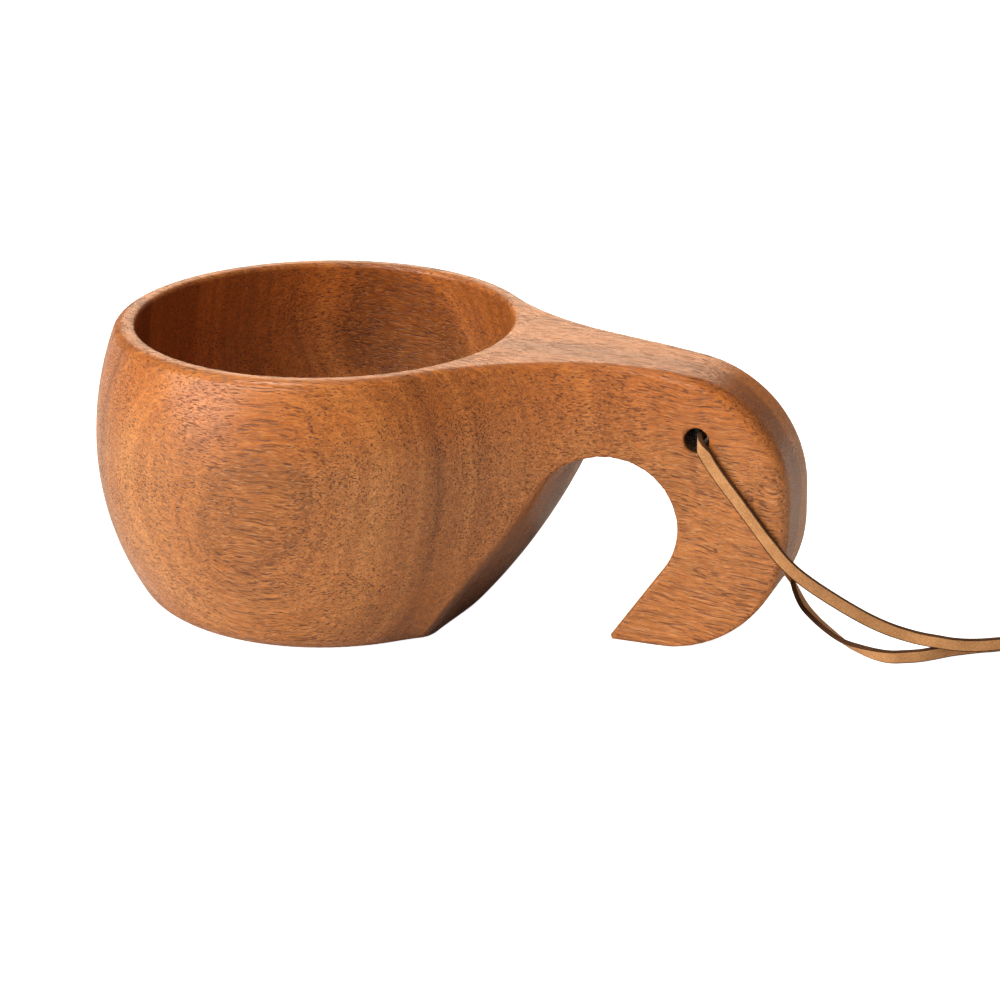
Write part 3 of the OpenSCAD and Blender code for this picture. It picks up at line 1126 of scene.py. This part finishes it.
@dataclass
class Lace:
    """A flat suede lace, through the handle and knotted at its ends.

    Attributes:
        width: Width of the strip.
        thick: Thickness of the strip.
        corner: Radius of the strip's corners.
        step: Distance between the strip's sections.
        press: How far the front strand lies nearer to the handle than its route.
        rear_press: How far the rear strand lies nearer to it.
        press_y: Distances from the cup's middle between which that comes in.
        press_x: Distances from the bowl's axis between which it fades out.
        twist: How far the rear strand turns past the handle, in degrees.
        twist_in: Distances from the axis between which that turn comes in.
        twist_out: Distances between which it fades out.
        close: How far a strand lies nearer to the other one at the knot.
        close_over: Length of the strand over which it comes nearer.
    """

    width: float = 2.75
    thick: float = 1.05
    corner: float = 0.28
    step: float = 0.7
    press: float = 1.3
    rear_press: float = 1.3 / 3
    press_y: Span = (5.0, 10.5)
    press_x: Span = (98.0, 112.0)
    twist: float = 66.0
    twist_in: Span = (99.0, 102.0)
    twist_out: Span = (110.0, 129.0)
    close: float = 1.0
    close_over: float = 9.0

    def section(self) -> Outline:
        """The strip's cross-section."""
        return Outline(self.width, self.thick, self.corner)

    def raised(self, line: np.ndarray) -> np.ndarray:
        """A line lifted so that a strip standing on its edge isn't below the table."""
        lifted = line.copy()
        lifted[:, 2] = np.maximum(lifted[:, 2], self.width / 2)
        return lifted

    def turned(self, line: np.ndarray, side: Side) -> np.ndarray:
        """The way that a strand looks, with the rear one's upper edge turned outwards."""
        looks = level_looks(line)
        if side is Side.FRONT:
            return looks
        x = line[:, 0]
        share = ease(x, *self.twist_in) * (1 - ease(x, *self.twist_out))
        angle = math.radians(self.twist) * share[:, None]
        return looks * np.cos(angle) + np.cross(along(line), looks) * np.sin(angle)

    def strand(
        self, side: Side, finishes: Sequence[bpy.types.Material]
    ) -> tuple[bpy.types.Object, np.ndarray]:
        """Lays one strand, from the middle of its hole to the knot.

        Args:
            side: The side of the handle that it hangs on.
            finishes: The strip's materials.

        Returns:
            The strand, and the points that it follows.
        """
        line = smooth_line(ROUTES[side], self.step)
        x, y = line[:, 0], line[:, 1]
        press = self.press if side is Side.FRONT else self.rear_press
        pressed = ease(np.abs(y), *self.press_y) * (1 - ease(x, *self.press_x)) * press
        shown = line.copy()
        shown[:, 1] -= side.value * pressed
        run = line @ KNOT_WAY
        joined = ease(run, run[-1] - self.close_over, run[-1]) * self.close
        shown = self.raised(shown + side.value * joined[:, None] * KNOT_SIDE)
        strand = sweep(f"lace_{side.name.lower()}", shown, self.turned(line, side), self.section())
        dress(strand, *finishes)
        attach(strand, Body.LACE.value)
        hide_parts(f"lace_{side.name.lower()}_strand")
        return strand, line

    def tail(self, side: Side, finishes: Sequence[bpy.types.Material]) -> bpy.types.Object:
        """Lays one loose end past the knot."""
        line = self.raised(smooth_line(TAILS[side], self.step))
        tail = sweep(f"tail_{side.name.lower()}", line, level_looks(line), self.section())
        dress(tail, *finishes)
        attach(tail, Body.LACE.value)
        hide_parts(f"lace_{side.name.lower()}_tail")
        return tail

    def build(self) -> list[bpy.types.Object]:
        """Lays the whole lace.

        Returns:
            The lace's pieces.
        """
        finishes = [FACE.material(), EDGE.material()]
        knot = Knot().build(finishes)
        made = [knot]
        for side in Side:
            strand, line = self.strand(side, finishes)
            tail = self.tail(side, finishes)
            made += [strand, tail]
        return made


@dataclass
class Knot:
    """An overhand knot tied in both strands together.

    Attributes:
        size: Scale of the knot's three lobes.
        strip_t: Thickness of each of the two strips in it.
        strip_w: Width of the strips, squeezed by the knot.
        strip_corner: Radius of the strips' corners.
        opened: Half of the turn left out where the strands come and go.
        rounds: Number of points worked out round the lobes.
        each: Which of them the line runs through.
        out: How far the lobes lie to one side, before scaling.
        step: Distance between the strips' sections.
    """

    size: float = 1.30
    strip_t: float = 1.15
    strip_w: float = 2.5
    strip_corner: float = 0.35
    opened: float = 0.62
    rounds: int = 64
    each: int = 3
    out: float = 2.0
    step: float = 0.45

    def line(self) -> np.ndarray:
        """The knot's line, in its own frame: along the strands, across, and up."""
        lobe = math.pi / 3
        t = np.linspace(lobe + self.opened, lobe + 2 * math.pi - self.opened, self.rounds)
        # The three-lobed curve of an overhand knot
        a, b = np.sin(t) + 2 * np.sin(2 * t), np.cos(t) - 2 * np.cos(2 * t)
        c = -np.sin(3 * t)
        # Turned so that the open lobe points across the strands
        turn = math.radians(30)
        out = a * math.cos(turn) + b * math.sin(turn)
        on = -a * math.sin(turn) + b * math.cos(turn)
        body = self.size * np.stack([on, out - self.out, c], axis=1)
        if body[0, 0] > body[-1, 0]:
            body = body[::-1]
        # A short straight lead at each end, which sinks from the strands' height
        half = KNOT_L / 2
        level = STRAND_Z - self.lift()
        first = [(-half - 1.5, 0, level), (-half + 0.4, 0.1, level * 0.8)]
        last = [(half - 0.4, 0.1, level * 0.8), (half + 1.5, 0, level)]
        return smooth_line([*first, *body[:: self.each], *last], self.step)

    def lift(self) -> float:
        """Height of the knot's middle above the table."""
        return self.size + self.strip_w / 2

    def build(self, finishes: Sequence[bpy.types.Material]) -> bpy.types.Object:
        """Ties the knot.

        Args:
            finishes: The strip's materials.

        Returns:
            The knot, riding on the lace's body in place of its node.
        """
        own_axes = np.array([KNOT_WAY, KNOT_SIDE, (0.0, 0.0, 1.0)])
        middle = np.array([*KNOT_START, self.lift()]) + KNOT_L / 2 * KNOT_WAY
        line = middle + self.line() @ own_axes
        looks = level_looks(line)
        section = Outline(self.strip_w, self.strip_t, self.strip_corner)
        # The two strands' strips lie face to face all through the knot
        strips = [
            sweep(f"knot_{number}", line + shift * self.strip_t * looks, looks, section)
            for number, shift in enumerate((-0.5, 0.5))
        ]
        with bpy.context.temp_override(active_object=strips[0], selected_editable_objects=strips):
            bpy.ops.object.join()
        knot = strips[0]
        knot.name = "overhand_knot"
        dress(knot, *finishes)
        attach(knot, Body.LACE.value)
        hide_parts("lace_knot")
        LOG.info("%s: %d faces", knot.name, len(knot.data.polygons))
        return knot


# ---- The studio ------------------------------------------------------------


@dataclass(frozen=True)
class Lamp:
    """A soft lamp, far away.

    Attributes:
        name: The lamp's name.
        azimuth: Its turn about the cup, in degrees.
        elevation: Its height angle, in degrees.
        strength: Its strength.
        softness: The angle that it covers, in degrees.
        colour: Its colour.
    """

    name: str
    azimuth: float
    elevation: float
    strength: float
    softness: float
    colour: Colour


# Each lamp's azimuth, elevation, strength, softness and colour
LAMPS = (
    Lamp("window", -45.0, 21.0, 1.95, 45.0, (1.0, 1.0, 0.97)),
    Lamp("front_fill", -18.0, 40.0, 1.15, 35.0, (1.0, 0.95, 0.80)),
    Lamp("overhead", -90.0, 74.0, 0.95, 14.0, (1.0, 0.92, 0.80)),
    Lamp("back_card", 200.0, 22.0, 0.88, 40.0, (1.0, 0.76, 0.55)),
)
# The surroundings, from below to above
SKY = (
    (0.30, (0.05, 0.045, 0.04)),
    (0.48, (0.26, 0.21, 0.16)),
    (0.55, (0.34, 0.28, 0.22)),
    (0.70, (0.13, 0.12, 0.11)),
    (1.00, (0.05, 0.05, 0.05)),
)


@dataclass
class Studio:
    """A white floor, soft lamps and a camera.

    Attributes:
        azimuth: The camera's turn about the cup, in degrees.
        elevation: Its height angle, in degrees.
        distance: Its distance from what it looks at.
        aim: The place that it looks at.
        lens: Its focal length.
        sensor: Width of its sensor.
        clip: Nearest and furthest distance that it sees, in metres.
        floor_glow: Light that the seen floor gives off.
        floor_white: How much light the floor throws back.
        floor_half: Half of the floor's side, in metres.
        floor_gap: How far below the seen floor the other one lies.
    """

    azimuth: float = 20.25
    elevation: float = 20.81
    distance: float = 653.4
    aim: Three = (34.97, 12.90, 19.21)
    lens: float = 108.0
    sensor: float = 36.0
    clip: Span = (0.01, 50.0)
    floor_glow: float = 1.0
    floor_white: float = 0.80
    floor_half: float = 6.0
    floor_gap: float = 0.4

    @staticmethod
    def back(azimuth: float, elevation: float) -> Vector:
        """The way from the cup to something at these angles."""
        a, e = math.radians(azimuth), math.radians(elevation)
        return Vector((math.sin(a) * math.cos(e), -math.cos(a) * math.cos(e), math.sin(e)))

    def camera(self) -> bpy.types.Object:
        """Sets up the camera."""
        data = bpy.data.cameras.new("studio_camera")
        data.lens = self.lens
        data.sensor_width = self.sensor
        data.clip_start, data.clip_end = self.clip
        made = bpy.data.objects.new("studio_camera", data)
        bpy.context.scene.collection.objects.link(made)
        back = self.back(self.azimuth, self.elevation)
        right = Vector((0, 0, 1)).cross(back).normalized()
        turn = Matrix((right, back.cross(right), back)).transposed().to_4x4()
        stand = (Vector(self.aim) + back * self.distance) * MM
        made.matrix_world = Matrix.Translation(stand) @ turn
        bpy.context.scene.camera = made
        return made

    def floor(self, name: str, depth: float, glow: float) -> bpy.types.Object:
        """Lays a white floor.

        Args:
            name: The floor's name.
            depth: How far it lies below the table's face.
            glow: Light that it gives off.

        Returns:
            The floor.
        """
        half = self.floor_half * PER_M
        signs = ((-1, -1), (1, -1), (1, 1), (-1, 1))
        corners = np.array([(x * half, y * half, -depth) for x, y in signs])
        floor = new_object(name, corners, [(0, 1, 2, 3)], smooth=False)
        s = Sheet(name)
        white = self.floor_white
        s.shader.inputs["Base Color"].default_value = (white, white, white, 1.0)
        s.shader.inputs["Roughness"].default_value = 1.0
        s.shader.inputs["Specular IOR Level"].default_value = 0.0
        s.shader.inputs["Emission Color"].default_value = (1.0, 1.0, 1.0, 1.0)
        s.shader.inputs["Emission Strength"].default_value = glow
        dress(floor, s.material)
        return floor

    def floors(self) -> None:
        """Lays the floor that is seen, and under it the one that throws light back."""
        seen = self.floor("seen_floor", 0.0, self.floor_glow)
        seen.visible_diffuse = False
        seen.visible_glossy = False
        seen.visible_shadow = False
        under = self.floor("white_floor", self.floor_gap, 0.0)
        under.visible_camera = False

    def lamps(self) -> None:
        """Hangs the lamps."""
        for lamp in LAMPS:
            data = bpy.data.lights.new(lamp.name, "SUN")
            data.energy = lamp.strength
            data.angle = math.radians(lamp.softness)
            data.color = lamp.colour
            made = bpy.data.objects.new(lamp.name, data)
            back = self.back(lamp.azimuth, lamp.elevation)
            made.rotation_euler = back.to_track_quat("Z", "Y").to_euler()
            bpy.context.scene.collection.objects.link(made)

    def sky(self) -> None:
        """Paints the surroundings, by height."""
        world = bpy.data.worlds.new("studio")
        world.use_nodes = True
        tree = world.node_tree
        place = tree.nodes.new("ShaderNodeTexCoord")
        split = tree.nodes.new("ShaderNodeSeparateXYZ")
        tree.links.new(place.outputs["Generated"], split.inputs[0])
        # From straight down to straight up, the ramp runs from 0 to 1
        lift = tree.nodes.new("ShaderNodeMath")
        lift.operation = "MULTIPLY_ADD"
        lift.inputs[1].default_value = 0.5
        lift.inputs[2].default_value = 0.5
        tree.links.new(split.outputs["Z"], lift.inputs[0])
        ramp = tree.nodes.new("ShaderNodeValToRGB")
        tree.links.new(lift.outputs[0], ramp.inputs[0])
        fill_ramp(ramp, SKY)
        tree.links.new(ramp.outputs["Color"], tree.nodes["Background"].inputs["Color"])
        bpy.context.scene.world = world
        bpy.context.scene.view_settings.view_transform = "Standard"

    def build(self) -> None:
        """Sets up the floor and the light."""
        self.floors()
        self.lamps()
        self.sky()
        LOG.info("studio is set")


def cup_from_frame() -> Cup:
    """Takes the cup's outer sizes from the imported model."""
    low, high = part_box("cup_body")
    return Cup(belly_r=-low[0] * PER_M, height=high[2] * PER_M, reach=high[0] * PER_M)


def main() -> None:
    """Builds the whole scene."""
    logging.basicConfig(level=logging.INFO, format="%(name)s: %(message)s")
    studio = Studio()
    studio.camera()
    Lace().build()
    cup_from_frame().build()
    studio.build()


if __name__ == "__main__":
    main()
